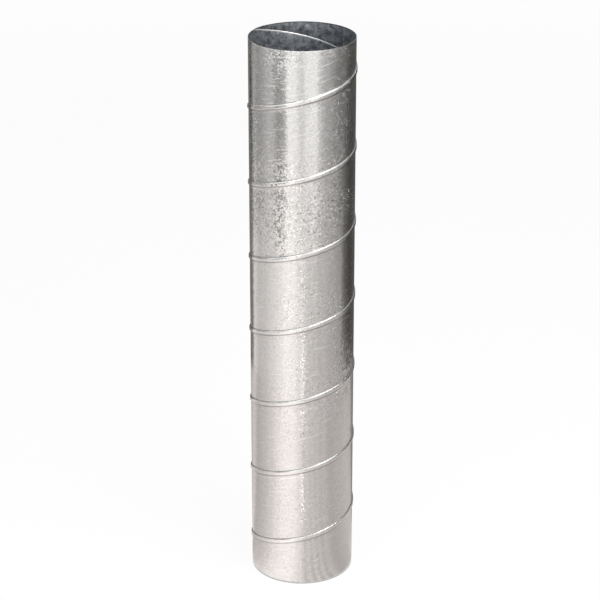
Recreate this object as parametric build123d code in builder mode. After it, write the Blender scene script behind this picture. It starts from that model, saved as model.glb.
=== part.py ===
from build123d import *
import os
from math import asin, degrees, pi, tan

# Spiral duct pipe: one strip of galvanised steel, wound into a tube and folded into
# itself along a helical lock seam. Millimetres, +Z along the pipe, origin at the
# centre of the bottom rim. Seen from the side, the seam climbs to the right.

# The pipe
bore_diameter = 160.0
sheet_thickness = 0.5
pipe_length = 880.0

# The strip, and how its two edges are folded together
strip_width = 137.0
seam_width = 6.7
seam_plies = 4
ply_clearance = 0.1
winding_start = -15.0  # degrees from +X to where the winding begins

# The seam's outline: a folded nose along its upper edge, where one edge of the strip
# doubles back, and a jog along its lower edge, where the strip steps down to the wall
nose_undercut = 0.35
edge_chamfer = 0.5
jog_run = 1.4

# The crease that the fold leaves in the bore
crease_width = 3.0
crease_depth = 0.8

bore_radius = bore_diameter / 2
outer_radius = bore_radius + sheet_thickness
mean_diameter = bore_diameter + sheet_thickness

# The wall is one ply of the seam, and the rest stand outside it
added_plies = seam_plies - 1
seam_height = added_plies * (sheet_thickness + ply_clearance)

# Each turn covers the strip's width, less what the folds take up
cover_width = strip_width - added_plies * seam_width
helix_angle = asin(cover_width / (pi * mean_diameter))
seam_pitch = pi * mean_diameter * tan(helix_angle)

# The tube is wound past both saw cuts, and the seam is carried through them
seam_overrun = 2 * (seam_width + jog_run)
wall_overrun = 2 * seam_overrun
seam_rise = pipe_length + 2 * seam_overrun
wound_length = pipe_length + 2 * wall_overrun

seam_helix = Helix(seam_pitch, seam_rise, bore_radius, center=(0, 0, -seam_overrun))
with BuildLine() as seam_path:
    add(seam_helix.rotate(Axis.Z, winding_start))

# Sections lie square across the seam: local X points out of the pipe, local Y up it
outward = Vector(1, 0, 0).rotate(Axis.Z, winding_start)
across_seam = Plane(origin=seam_path.line @ 0, x_dir=outward, z_dir=-(seam_path.line % 0))
seam_root = sheet_thickness / 2
seam_top = sheet_thickness + seam_height
crease_middle = -jog_run / 2

with BuildPart() as spiral_duct_pipe:
    # Plain wall
    with BuildSketch(Plane.XY.offset(-wall_overrun)):
        Circle(outer_radius)
        Circle(bore_radius, mode=Mode.SUBTRACT)
    extrude(amount=wound_length)

    # Folded plies, standing outside the wall
    with BuildSketch(across_seam) as seam_section:
        with BuildLine():
            Polyline(
                (seam_root, -jog_run),
                (seam_top, 0),
                (seam_top, seam_width),
                (seam_root, seam_width - nose_undercut),
                close=True,
            )
        make_face()
        outer_corners = seam_section.vertices().sort_by(Axis.X)[-2:]
        chamfer(outer_corners, edge_chamfer)
    sweep(path=seam_path.line, is_frenet=True)

    # Crease in the bore, under the jog
    with BuildSketch(across_seam):
        with Locations((0, crease_middle)):
            Polygon(
                (-crease_depth, -crease_width / 2),
                (-crease_depth, crease_width / 2),
                (crease_depth, 0),
                align=None,
            )
    sweep(path=seam_path.line, is_frenet=True, mode=Mode.SUBTRACT)

    # Both ends are sawn off square
    split(bisect_by=Plane.XY)
    split(bisect_by=Plane.XY.offset(pipe_length), keep=Keep.BOTTOM)

spiral_duct_pipe.part.label = "spiral_duct_pipe"

os.makedirs("parts", exist_ok=True)
export_step(spiral_duct_pipe.part, "parts/spiral_duct_pipe.step")
print(f"helix {degrees(helix_angle):.2f} degrees, {seam_pitch:.2f} mm a turn")
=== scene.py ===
from math import asin, cos, pi, radians, sin, tan

import bmesh
import bpy
from mathutils import Matrix, Vector


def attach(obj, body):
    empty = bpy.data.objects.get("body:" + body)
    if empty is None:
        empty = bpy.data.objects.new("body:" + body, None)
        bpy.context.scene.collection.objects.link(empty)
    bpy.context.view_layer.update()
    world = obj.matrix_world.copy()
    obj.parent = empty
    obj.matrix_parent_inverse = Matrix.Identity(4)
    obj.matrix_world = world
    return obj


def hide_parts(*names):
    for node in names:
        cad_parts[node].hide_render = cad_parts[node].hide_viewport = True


# A length of galvanised spiral duct, standing on its end. Metres, +Z up the pipe.
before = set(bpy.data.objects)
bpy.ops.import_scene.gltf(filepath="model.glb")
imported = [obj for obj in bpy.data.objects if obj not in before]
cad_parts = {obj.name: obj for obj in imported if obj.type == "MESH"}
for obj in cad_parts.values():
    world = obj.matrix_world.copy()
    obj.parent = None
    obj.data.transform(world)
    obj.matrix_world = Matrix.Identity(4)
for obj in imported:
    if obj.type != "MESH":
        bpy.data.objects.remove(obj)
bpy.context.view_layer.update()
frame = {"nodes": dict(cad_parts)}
print("frame loaded:", ", ".join(frame["nodes"]))


# Shader maths as Python expressions: a Link wraps a socket, and its operators add Math nodes

class Link:
    def __init__(self, finish, socket):
        self.finish = finish
        self.socket = socket

    def __add__(self, other):
        return self.finish.maths("ADD", self, other)

    def __radd__(self, other):
        return self.finish.maths("ADD", other, self)

    def __sub__(self, other):
        return self.finish.maths("SUBTRACT", self, other)

    def __rsub__(self, other):
        return self.finish.maths("SUBTRACT", other, self)

    def __mul__(self, other):
        return self.finish.maths("MULTIPLY", self, other)

    def __rmul__(self, other):
        return self.finish.maths("MULTIPLY", other, self)

    def __truediv__(self, other):
        return self.finish.maths("DIVIDE", self, other)

    def __pow__(self, other):
        return self.finish.maths("POWER", self, other)


class Finish:
    def __init__(self, tree):
        self.tree = tree
        self.tree.nodes.clear()

    def node(self, kind, settings=None, inputs=None, output=0):
        made = self.tree.nodes.new(kind)
        for name, value in (settings or {}).items():
            if name == "stops":
                self.setStops(made.color_ramp, value)
            else:
                setattr(made, name, value)
        for name, value in (inputs or {}).items():
            if isinstance(value, Link):
                self.tree.links.new(value.socket, made.inputs[name])
            else:
                made.inputs[name].default_value = value
        return Link(self, made.outputs[output]) if len(made.outputs) else None

    def setStops(self, ramp, stops):
        ramp.interpolation = "EASE"
        while len(ramp.elements) < len(stops):
            ramp.elements.new(0.5)
        for element, (place, shade) in zip(ramp.elements, stops):
            element.position = place
            element.color = (shade, shade, shade, 1)

    def maths(self, operation, *values):
        return self.node("ShaderNodeMath", {"operation": operation}, dict(enumerate(values)))

    def vectors(self, operation, first, second, output="Vector"):
        return self.node("ShaderNodeVectorMath", {"operation": operation},
                         {0: first, 1: second}, output)

    def part(self, vector, axis):
        return self.node("ShaderNodeSeparateXYZ", None, {0: vector}, axis)

    def vector(self, x, y, z):
        return self.node("ShaderNodeCombineXYZ", None, {0: x, 1: y, 2: z})

    def step(self, value, start, full):
        # 0 up to the start, 1 from full on, and smooth between; full may be below the start
        return self.node("ShaderNodeMapRange", {"interpolation_type": "SMOOTHSTEP"},
                         {0: value, 1: start, 2: full, 3: 0.0, 4: 1.0})

    def noise(self, vector, settings, drift=0.0):
        scale, detail, roughness = settings
        return self.node("ShaderNodeTexNoise", {"noise_dimensions": "4D"}, {
            "Vector": vector, "Scale": scale, "Detail": detail, "Roughness": roughness, "W": drift})

    def blend(self, share, first, second):
        # A Mix node's colours are its inputs 6 and 7 and its output 2
        ends = [(*colour, 1) if isinstance(colour, tuple) else colour for colour in (first, second)]
        return self.node("ShaderNodeMix", {"data_type": "RGBA"}, {0: share, 6: ends[0], 7: ends[1]}, 2)


def newFinish(name):
    material = bpy.data.materials.new(name)
    material.use_nodes = True
    return material, Finish(material.node_tree)


def between(share, low, high):
    return low + share * (high - low)


def newMesh(name, bm):
    mesh = bpy.data.meshes.new(name)
    bm.to_mesh(mesh)
    bm.free()
    made = bpy.data.objects.new(name, mesh)
    bpy.context.collection.objects.link(made)
    return made


# The pipe: one strip, wound up and locked into itself

pipe = {
    "bore": 0.160,
    "sheet": 0.0005,
    "length": 0.880,
    "stripWidth": 0.137,
    "seamWidth": 0.0067,
    "plyGap": 0.0001,
    "seamStart": -0.0112,   # height of the seam's lower edge on the +X side
    "noseDrop": 0.0005,     # how far the rollers press the nose down
    "noseRun": 0.0020,      # over how much of the seam's width
    "seamCrown": 0.0001,    # how far the pressed part bellies out
    "flangeShort": 0.0020,  # how far the hidden flange ends below the nose
    "jogAngle": 50,         # how steeply the strip steps from the wall out to the seam
    "jogBend": 0.0014,      # radius of the sheet's middle at the foot of that step
    "crown": 0.0001,        # how far each turn bellies out between its seams
    "wallCuts": 12,
    "bendCuts": 6,
    "turnSteps": 120,
    "spareTurns": 1.1,      # wound past the upper cut and sawn off
    "weldReach": 1e-6,
    "sawReach": 1e-7,
    "sharpFrom": 35,        # degrees between two faces
}

boreRadius = pipe["bore"] / 2
plyPitch = pipe["sheet"] + pipe["plyGap"]
halfSheet = pipe["sheet"] / 2
coverWidth = pipe["stripWidth"] - 3 * pipe["seamWidth"]
meanRound = pi * (pipe["bore"] + pipe["sheet"])
helixAngle = asin(coverWidth / meanRound)
seamPitch = meanRound * tan(helixAngle)


def plyRadius(ply):
    # Middle of ply 0, 1, 2 or 3, from the bore out
    return boreRadius + halfSheet + ply * plyPitch


def run(bm, tip, x, z, cuts=1, belly=0.0):
    start = tip.co.copy()
    for cut in range(1, cuts + 1):
        tip = bmesh.ops.extrude_vert_indiv(bm, verts=[tip])["verts"][0]
        out = Vector((belly * sin(pi * cut / cuts), 0, 0))
        tip.co = start.lerp(Vector((x, 0, z)), cut / cuts) + out
    return tip


def bend(bm, tip, x, z, angle, cuts):
    made = bmesh.ops.spin(bm, geom=[tip], cent=(x, 0, z), axis=(0, 1, 0),
                          angle=radians(angle), steps=cuts)
    return [item for item in made["geom_last"] if isinstance(item, bmesh.types.BMVert)][0]


def drawStrip(bm):
    # The side of the strip that faces the bore, in the XZ plane: X out of the pipe, Z across the
    # strip from its seam's upper edge at 0. Fold, outer ply, jog, wall, and the next seam's fold
    coreRadius = plyRadius(1)
    outerSide = plyRadius(3) - halfSheet
    outerFold = plyPitch + halfSheet
    noseZ = -outerFold
    foldZ = outerFold - pipe["seamWidth"]
    noseFrom = coreRadius + halfSheet
    noseTo = outerSide - pipe["noseDrop"]
    jog = radians(pipe["jogAngle"])
    jogTop = outerSide - coreRadius
    jogFoot = pipe["jogBend"] + halfSheet
    jogEnd = boreRadius + jogFoot * (1 - cos(jog))
    drop = coreRadius + jogTop * cos(jog) - jogEnd
    wallZ = foldZ - jogTop * sin(jog) - drop / tan(jog) - jogFoot * sin(jog)
    cuts = pipe["bendCuts"]

    tip = bmesh.ops.create_vert(bm, co=(noseFrom, 0, foldZ))["vert"][0]
    tip = run(bm, tip, noseFrom, noseZ)
    tip = bend(bm, tip, (noseFrom + noseTo) / 2, noseZ, 180, cuts)
    tip = run(bm, tip, outerSide, noseZ - pipe["noseRun"], cuts, pipe["seamCrown"])
    tip = run(bm, tip, outerSide, foldZ)
    tip = bend(bm, tip, coreRadius, foldZ, pipe["jogAngle"], cuts // 2)
    tip = run(bm, tip, jogEnd, wallZ + jogFoot * sin(jog))
    tip = bend(bm, tip, boreRadius + jogFoot, wallZ, -pipe["jogAngle"], cuts // 2)
    tip = run(bm, tip, boreRadius, foldZ - coverWidth, pipe["wallCuts"], pipe["crown"])
    tip = bend(bm, tip, coreRadius, foldZ - coverWidth, -180, cuts)
    run(bm, tip, plyRadius(2) + halfSheet, noseZ - pipe["flangeShort"] - coverWidth)


def sawOff(bm, height, outward):
    cut = bmesh.ops.bisect_plane(bm, geom=bm.verts[:] + bm.edges[:] + bm.faces[:],
                                 dist=pipe["sawReach"], plane_co=(0, 0, height),
                                 plane_no=(0, 0, outward), clear_outer=True)
    rim = [item for item in cut["geom_cut"] if isinstance(item, bmesh.types.BMEdge)]
    bmesh.ops.edgenet_fill(bm, edges=rim)


def makePipe():
    bm = bmesh.new()
    drawStrip(bm)
    bmesh.ops.translate(bm, vec=(0, 0, pipe["seamWidth"]), verts=bm.verts)
    bmesh.ops.scale(bm, vec=(1, 1, 1 / cos(helixAngle)), verts=bm.verts)
    bmesh.ops.translate(bm, vec=(0, 0, pipe["seamStart"]), verts=bm.verts)

    turns = (pipe["length"] - pipe["seamStart"]) / seamPitch + pipe["spareTurns"]
    steps = int(turns * pipe["turnSteps"])
    bmesh.ops.spin(bm, geom=bm.verts[:] + bm.edges[:], cent=(0, 0, 0), axis=(0, 0, 1),
                   dvec=(0, 0, seamPitch / pipe["turnSteps"]),
                   angle=2 * pi * steps / pipe["turnSteps"], steps=steps)
    bmesh.ops.remove_doubles(bm, verts=bm.verts, dist=pipe["weldReach"])

    # Solidify grows against the faces' normals, so they point into the bore for it
    bmesh.ops.recalc_face_normals(bm, faces=bm.faces)
    bmesh.ops.reverse_faces(bm, faces=bm.faces)
    bmesh.ops.solidify(bm, geom=bm.faces[:], thickness=pipe["sheet"])
    sawOff(bm, 0, -1)
    sawOff(bm, pipe["length"], 1)
    for face in bm.faces:
        face.smooth = True
    piece = newMesh("spiralDuct", bm)
    piece.data.set_sharp_from_angle(angle=radians(pipe["sharpFrom"]))
    triangles = sum(len(face.vertices) - 2 for face in piece.data.polygons)
    print("pipe made:", triangles, "triangles")
    return piece


# Hot-dip galvanised finish

zinc = {
    "pale": (0.64, 0.635, 0.625),
    "dull": (0.56, 0.56, 0.555),
    # painted highlight, and the real scratches and bright crystals, take this colour
    "highlightAndScratches": (0.74, 0.735, 0.725),
    # painted shade, and the zinc's own dark crystals, take this colour
    "shadeAndSpecks": (0.10, 0.095, 0.09),
    # the bore's colours are darker and bluer than the outside of the same sheet: painted shade and
    # painted blue sky light, blotched at random
    "bore": (0.50, 0.53, 0.57),
    "boreShade": (0.14, 0.15, 0.165),
    "boreMetal": 0.85,
    "roughness": (0.12, 0.20),
    "boreRoughness": 0.3,         # on top of the outside's
    "grain": 440,                 # crystals of zinc in a metre
    "facetTilt": 0.14,            # slope between a crystal and the next
    "specks": (0.10, 0.92),       # crystals are dark below the first share, bright above the second
    "speckEdge": 0.02,
    # Noises, as features in a metre, detail and roughness
    "mottle": (160, 4, 0.6),
    "blotches": (120, 5, 0.7),
    "waves": (12, 1, 0.4),
    "patches": (9, 2, 0.6),       # areas of coarse crystals, with smoother ones between
    "streaks": (900, 2, 0.5),
    "scratches": (700, 1, 0.4),
    "stretch": 0.05,              # streaks and scratches change by this much less along the strip
    "drift": 0.02,                # keeps them different from turn to turn
    "patchDrift": 3.0,            # which slice of their noise the patches are
    # Values between which such a noise sets in
    "dullEdges": (0.3, 0.7),
    "blotchEdges": (0.35, 0.7),
    "patchEdges": (0.42, 0.58),
    "scratchEdges": (0.64, 0.70),
    "smoothGrain": 0.4,           # strength of the crystals between the patches
    "lowGrain": 0.6,              # share of the crystals' strength that is left at the foot
    "lowHeights": (0.25, 0.6),
    "waveDepth": 0.0004,
    "pitDepth": 0.00001,
    "streakDepth": 0.000005,
    "scratchDepth": 0.00004,
    # Painted shade and painted highlight by the seam, its jog and the cut ends, in bands by distance
    # from the jog and from a cut end; the scratches and crystals are the zinc's own
    "foldBand": (0.00312, 0.0026),
    "rimBand": (0.0018, 0.0009),
    # painted highlight: the seam's band is lighter for the light its nose catches from above
    "seamHighlight": 0.5,
    "speckRub": 0.8,
    "scratchRub": 0.8,
    # painted shade: the seam's jog and the wall just below it are darkened for the shadow in that
    # crease
    "foldShade": 0.35,
    # painted shade along the bore's edge at each cut end
    "boreRimShade": 0.8,
    "speckGrime": 0.3,
    # painted shadow: darker at the foot, where the pipe stands on the floor
    "footShadow": 0.5,
}


def makeZinc():
    material, finish = newFinish("galvanisedSteel")
    place = finish.node("ShaderNodeTexCoord", output="Object")
    x, y, z = (finish.part(place, axis) for axis in "XYZ")

    # Where a point lies on the strip
    radius = (x * x + y * y) ** 0.5
    turn = finish.maths("ARCTAN2", y, x) / (2 * pi)
    lap = (z - pipe["seamStart"]) / seamPitch - turn
    across = finish.maths("FRACT", lap) * coverWidth
    along = finish.vector(x * zinc["stretch"], y * zinc["stretch"], across)
    drift = z * zinc["drift"]
    outside = finish.step(radius, boreRadius + halfSheet, boreRadius + pipe["sheet"])
    onSeam = finish.step(radius, boreRadius + 2 * pipe["sheet"], plyRadius(2))
    # the band by the seam's jog: painted shade on the outside, painted highlight along the crease in
    # the bore
    inFold = finish.step(coverWidth - across, *zinc["foldBand"])
    middleHeight = pipe["length"] / 2
    fromEnd = middleHeight - finish.maths("ABSOLUTE", z - middleHeight)
    # near each cut end: painted highlight outside and painted shade in the bore; at the foot, painted
    # shadow
    onRim = finish.step(fromEnd, *zinc["rimBand"])
    onFoot = finish.step(z, *zinc["rimBand"])

    mottle = finish.noise(place, zinc["mottle"])
    blotch = finish.step(finish.noise(place, zinc["blotches"]), *zinc["blotchEdges"])
    wave = finish.noise(place, zinc["waves"])
    patch = finish.step(finish.noise(place, zinc["patches"], zinc["patchDrift"]), *zinc["patchEdges"])
    streak = finish.noise(along, zinc["streaks"], drift)
    scratch = finish.step(finish.noise(along, zinc["scratches"], drift), *zinc["scratchEdges"])

    # Crystals: each is a cell with its own shade and its own lean
    cell = {"Vector": place, "Scale": zinc["grain"]}
    shade = finish.node("ShaderNodeTexVoronoi", None, cell, "Color")
    middle = finish.node("ShaderNodeTexVoronoi", None, cell, "Position")
    offset = finish.vectors("SUBTRACT", place, middle)
    lean = finish.vectors("SUBTRACT", shade, (0.5, 0.5, 0.5))
    facet = finish.vectors("DOT_PRODUCT", offset, lean, "Value")
    grain = finish.part(shade, "X")
    lowDown = between(finish.step(z, *zinc["lowHeights"]), zinc["lowGrain"], 1)
    coarse = between(patch, zinc["smoothGrain"], 1) * lowDown
    dark, bright = zinc["specks"]
    edge = zinc["speckEdge"]
    darkSpeck = coarse * outside * finish.step(grain, dark + edge, dark - edge)
    brightSpeck = coarse * outside * finish.step(grain, bright - edge, bright + edge)

    dull = finish.step((mottle * 2 + grain + streak) / 4, *zinc["dullEdges"])
    outerColour = finish.blend(dull, zinc["pale"], zinc["dull"])
    # painted shade and painted blue sky light inside the bore, in random blotches
    shadedBoreColour = finish.blend(blotch, zinc["boreShade"], zinc["bore"])
    colour = finish.blend(outside, shadedBoreColour, outerColour)
    # painted highlight: lighter on the outside near each cut end, and along the seam's crease in the
    # bore
    highlightAndWear = onRim * outside + inFold * (1 - outside)
    highlightAndWear = highlightAndWear + brightSpeck * zinc["speckRub"] + scratch * outside * zinc["scratchRub"]
    # painted highlight on the seam's band
    highlightAndWear = finish.maths("MAXIMUM", onSeam * zinc["seamHighlight"], highlightAndWear)
    colour = finish.blend(highlightAndWear, colour, zinc["highlightAndScratches"])
    # painted shade: dark along the seam's jog outside, and along the bore's edge at each cut end
    shadeAndSpecks = inFold * outside * zinc["foldShade"] + onRim * (1 - outside) * zinc["boreRimShade"]
    # the dark crystals are the zinc's own tone; the foot gets a painted shadow where it meets the
    # floor
    shadeAndSpecks = shadeAndSpecks + darkSpeck * (1 - inFold) * zinc["speckGrime"] + onFoot * zinc["footShadow"]
    colour = finish.blend(shadeAndSpecks, colour, zinc["shadeAndSpecks"])

    rough = between((mottle + grain) / 2, *zinc["roughness"])
    height = facet * coarse * zinc["facetTilt"] + wave * zinc["waveDepth"]
    height = height + mottle * zinc["pitDepth"] + streak * zinc["streakDepth"]
    height = height + scratch * zinc["scratchDepth"]
    bump = finish.node("ShaderNodeBump", None, {"Strength": 1.0, "Distance": 1.0, "Height": height})
    shader = finish.node("ShaderNodeBsdfPrincipled", None, {
        "Base Color": colour,
        "Metallic": between(outside, zinc["boreMetal"], 1),
        "Roughness": rough + (1 - outside) * zinc["boreRoughness"],
        "Normal": bump,
    })
    finish.node("ShaderNodeOutputMaterial", None, {"Surface": shader})
    return material


duct = makePipe()
duct.data.materials.append(makeZinc())
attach(duct, "root")
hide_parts("spiral_duct_pipe")
print("finish made")


# Studio: a white floor, soft lamps, and boards that only the pipe's reflections show

studio = {
    "cameraDistance": 3.14,
    "cameraHeight": 1.776,
    "cameraPitch": 22.78,
    "cameraYaw": 0.06,     # puts the pipe where the photograph has it, right of the middle
    "lens": 131.8,
    "floorSize": 12,
    "floorPaint": (0.9, 0.9, 0.9, 1),
    "floorGlow": 0.92,     # near the pipe, where it keeps some shadow
    "floorFade": (2, 5),   # distances between which it turns as white as the sky
    "white": (1, 1, 1, 1),
    "worldLight": 0.55,
    "boardStep": 5,        # degrees between a board's cuts
    "boardCuts": 4,        # at least, in a narrow board
}


def shownRay(finish):
    camera, glossy, through = (finish.node("ShaderNodeLightPath", output=name) for name in
                               ("Is Camera Ray", "Is Glossy Ray", "Is Transmission Ray"))
    return finish.maths("MAXIMUM", finish.maths("MAXIMUM", camera, glossy), through)


def makeFloor():
    bm = bmesh.new()
    bmesh.ops.create_grid(bm, x_segments=1, y_segments=1, size=studio["floorSize"])
    floor = newMesh("floor", bm)
    material, finish = newFinish("paleFloor")
    paint = finish.node("ShaderNodeBsdfDiffuse", None, {"Color": studio["floorPaint"]})
    glow = finish.node("ShaderNodeEmission", None, {"Color": studio["white"], "Strength": 1.0})
    place = finish.node("ShaderNodeTexCoord", output="Object")
    away = finish.vectors("LENGTH", place, (0, 0, 0), "Value")
    fade = finish.step(away, *studio["floorFade"])
    shown = shownRay(finish) * between(fade, studio["floorGlow"], 1)
    mixed = finish.node("ShaderNodeMixShader", None, {0: shown, 1: paint, 2: glow})
    finish.node("ShaderNodeOutputMaterial", None, {"Surface": mixed})
    floor.data.materials.append(material)


# Each board is part of a ring about the pipe, from its inner edge to its outer one (radius and
# height), between two azimuths seen from the camera. Its tones run along it, as (azimuth, light).
# To a camera above, the wall shows the boards near the floor, and the seam's pressed nose shows
# seamScreen and highScreen. lightTube is the bright line down the pipe, and darkScreen darkens
# its right edge.
boards = {
    "floorBoard": {
        "inner": (0.083, 0.001), "outer": (0.8, 0.004), "colour": (1.06, 0.993, 0.965),
        "tones": [
            (-180, 0.25), (-166, 0.45), (-150, 0.6), (-130, 0.85), (-112, 0.62), (-88, 0.78),
            (-68, 0.97), (-52, 1.25), (-36, 1.42), (-18, 1.42), (-3, 1.15), (6, 0.8), (12, 0.98),
            (17, 0.72), (22, 0.95), (27, 0.68), (32, 0.88), (38, 0.66), (44, 0.78), (60, 0.62),
            (84, 0.68), (110, 0.75), (132, 0.68), (143, 0.25), (180, 0.25),
        ],
    },
    "middleBoard": {
        "inner": (0.8, 0.004), "outer": (1.8, 0.006), "colour": (1.045, 0.997, 0.975),
        "tones": [
            (-180, 0.12), (-150, 0.14), (-139, 0.2), (-126, 1.05), (-110, 0.8), (-88, 0.85),
            (-68, 1.05), (-52, 1.25), (-36, 1.5), (-18, 1.45), (-4, 1.1), (4, 0.8), (10, 0.98),
            (15, 0.74), (20, 0.95), (25, 0.7), (30, 0.88), (36, 0.66), (44, 0.74), (60, 0.62),
            (84, 0.5), (110, 0.3), (180, 0.1),
        ],
    },
    "lightTube": {
        "inner": (0.3, 0.008), "outer": (1.7, 0.012), "colour": (1.0, 1.0, 1.0),
        "gaps": (20, 2, 0.6), "gapEdges": (0.48, 0.54),
        "tones": [(0.8, 7.0), (2.0, 7.0)],
    },
    "farScreen": {
        "inner": (1.8, 0.0), "outer": (1.82, 0.9), "colour": (1.02, 1.0, 0.985),
        "tones": [
            (-180, 0.05), (-137, 0.08), (-124, 0.6), (-110, 0.4), (-68, 0.65), (-50, 0.3),
            (-38, 0.4), (-30, 1.4), (-14, 1.3), (-3, 0.9), (3, 0.9), (8, 1.3), (30, 1.35),
            (38, 0.75), (52, 0.5), (86, 0.25), (110, 0.1), (180, 0.05),
        ],
    },
    "seamScreen": {
        "inner": (1.79, 0.48), "outer": (1.8, 0.95), "colour": (1.0, 1.0, 1.0),
        "tones": [(-92, 0.5), (-70, 1.35), (-20, 1.4), (40, 1.4), (64, 1.1), (80, 0.4)],
    },
    "darkScreen": {
        "inner": (0.75, 0.05), "outer": (0.76, 1.0), "colour": (1.02, 0.98, 0.93),
        "tones": [(94, 0.24), (104, 0.14), (120, 0.07), (134, 0.08), (150, 0.12), (215, 0.25)],
    },
    "highScreen": {
        "inner": (0.5, 2.4), "outer": (2.2, 1.3), "colour": (1.0, 1.0, 1.0),
        "tones": [(-160, 0.45), (-120, 0.38), (-45, 0.38), (-20, 0.9)],
    },
}


def makeBoard(name, board):
    start = board["tones"][0][0]
    span = board["tones"][-1][0] - start
    bm = bmesh.new()
    inner, outer = (bmesh.ops.create_vert(bm, co=(radius, 0, height))["vert"][0]
                    for radius, height in (board["inner"], board["outer"]))
    edge = bmesh.ops.contextual_create(bm, geom=[inner, outer])["edges"][0]
    facing = Matrix.Rotation(radians(start - 90), 3, "Z")
    bmesh.ops.rotate(bm, verts=bm.verts, matrix=facing)
    bmesh.ops.spin(bm, geom=[inner, outer, edge], cent=(0, 0, 0), axis=(0, 0, 1),
                   angle=radians(span), steps=max(studio["boardCuts"], span // studio["boardStep"]),
                   use_merge=span == 360)
    made = newMesh(name, bm)

    material, finish = newFinish(name)
    place = finish.node("ShaderNodeTexCoord", output="Object")
    turn = finish.maths("ARCTAN2", finish.part(place, "X"), finish.part(place, "Y") * -1) / (2 * pi)
    share = finish.maths("FRACT", turn - start / 360) * (360 / span)
    peak = max(light for azimuth, light in board["tones"])
    stops = [((azimuth - start) / span, light / peak) for azimuth, light in board["tones"]]
    tone = finish.node("ShaderNodeValToRGB", {"stops": stops}, {0: share})
    lit = finish.part(tone, "X")
    if "gaps" in board:
        lit = lit * finish.step(finish.noise(place, board["gaps"]), *board["gapEdges"])
    colour = finish.blend(lit, (0, 0, 0), board["colour"])
    glow = finish.node("ShaderNodeEmission", None, {"Color": colour, "Strength": peak})
    finish.node("ShaderNodeOutputMaterial", None, {"Surface": glow})
    made.data.materials.append(material)
    made.visible_camera = False
    made.visible_diffuse = False
    made.visible_transmission = False
    made.visible_shadow = False


# Soft lamps, as azimuth seen from the camera, height, distance, width, height of the panel, light
lamps = {
    "overheadLamp": (0, 2.6, 0.3, 1.8, 1.8, 1.3),
    "highLamp": (42, 2.5, 2.2, 2.0, 0.7, 9.0),
    "leftLamp": (-26, 1.4, 2.3, 1.4, 1.8, 1.8),
    "rightLamp": (24, 1.4, 2.3, 1.4, 1.8, 1.8),
}


def addLamp(name, azimuth, height, distance, width, tall, radiance):
    lamp = bpy.data.lights.new(name, "AREA")
    lamp.shape = "RECTANGLE"
    lamp.size = width
    lamp.size_y = tall
    lamp.energy = radiance * pi * width * tall
    made = bpy.data.objects.new(name, lamp)
    turn = radians(azimuth)
    made.location = (distance * sin(turn), -distance * cos(turn), height)
    aim = Vector((0, 0, pipe["length"] / 2)) - made.location
    made.rotation_euler = aim.to_track_quat("-Z", "Y").to_euler()
    made.visible_camera = False
    bpy.context.collection.objects.link(made)


def makeWorld():
    world = bpy.data.worlds.new("studio")
    bpy.context.scene.world = world
    world.use_nodes = True
    finish = Finish(world.node_tree)
    strength = between(shownRay(finish), studio["worldLight"], 1)
    sky = finish.node("ShaderNodeBackground", None, {"Color": studio["white"], "Strength": strength})
    finish.node("ShaderNodeOutputWorld", None, {"Surface": sky})


def makeCamera():
    camera = bpy.data.cameras.new("camera")
    camera.lens = studio["lens"]
    made = bpy.data.objects.new("camera", camera)
    made.location = (0, -studio["cameraDistance"], studio["cameraHeight"])
    made.rotation_euler = (radians(90 - studio["cameraPitch"]), 0, radians(studio["cameraYaw"]))
    bpy.context.collection.objects.link(made)
    bpy.context.scene.camera = made


makeFloor()
makeWorld()
for name, board in boards.items():
    makeBoard(name, board)
for name, lamp in lamps.items():
    addLamp(name, *lamp)
makeCamera()
bpy.context.scene.view_settings.view_transform = "Standard"
print("studio made")
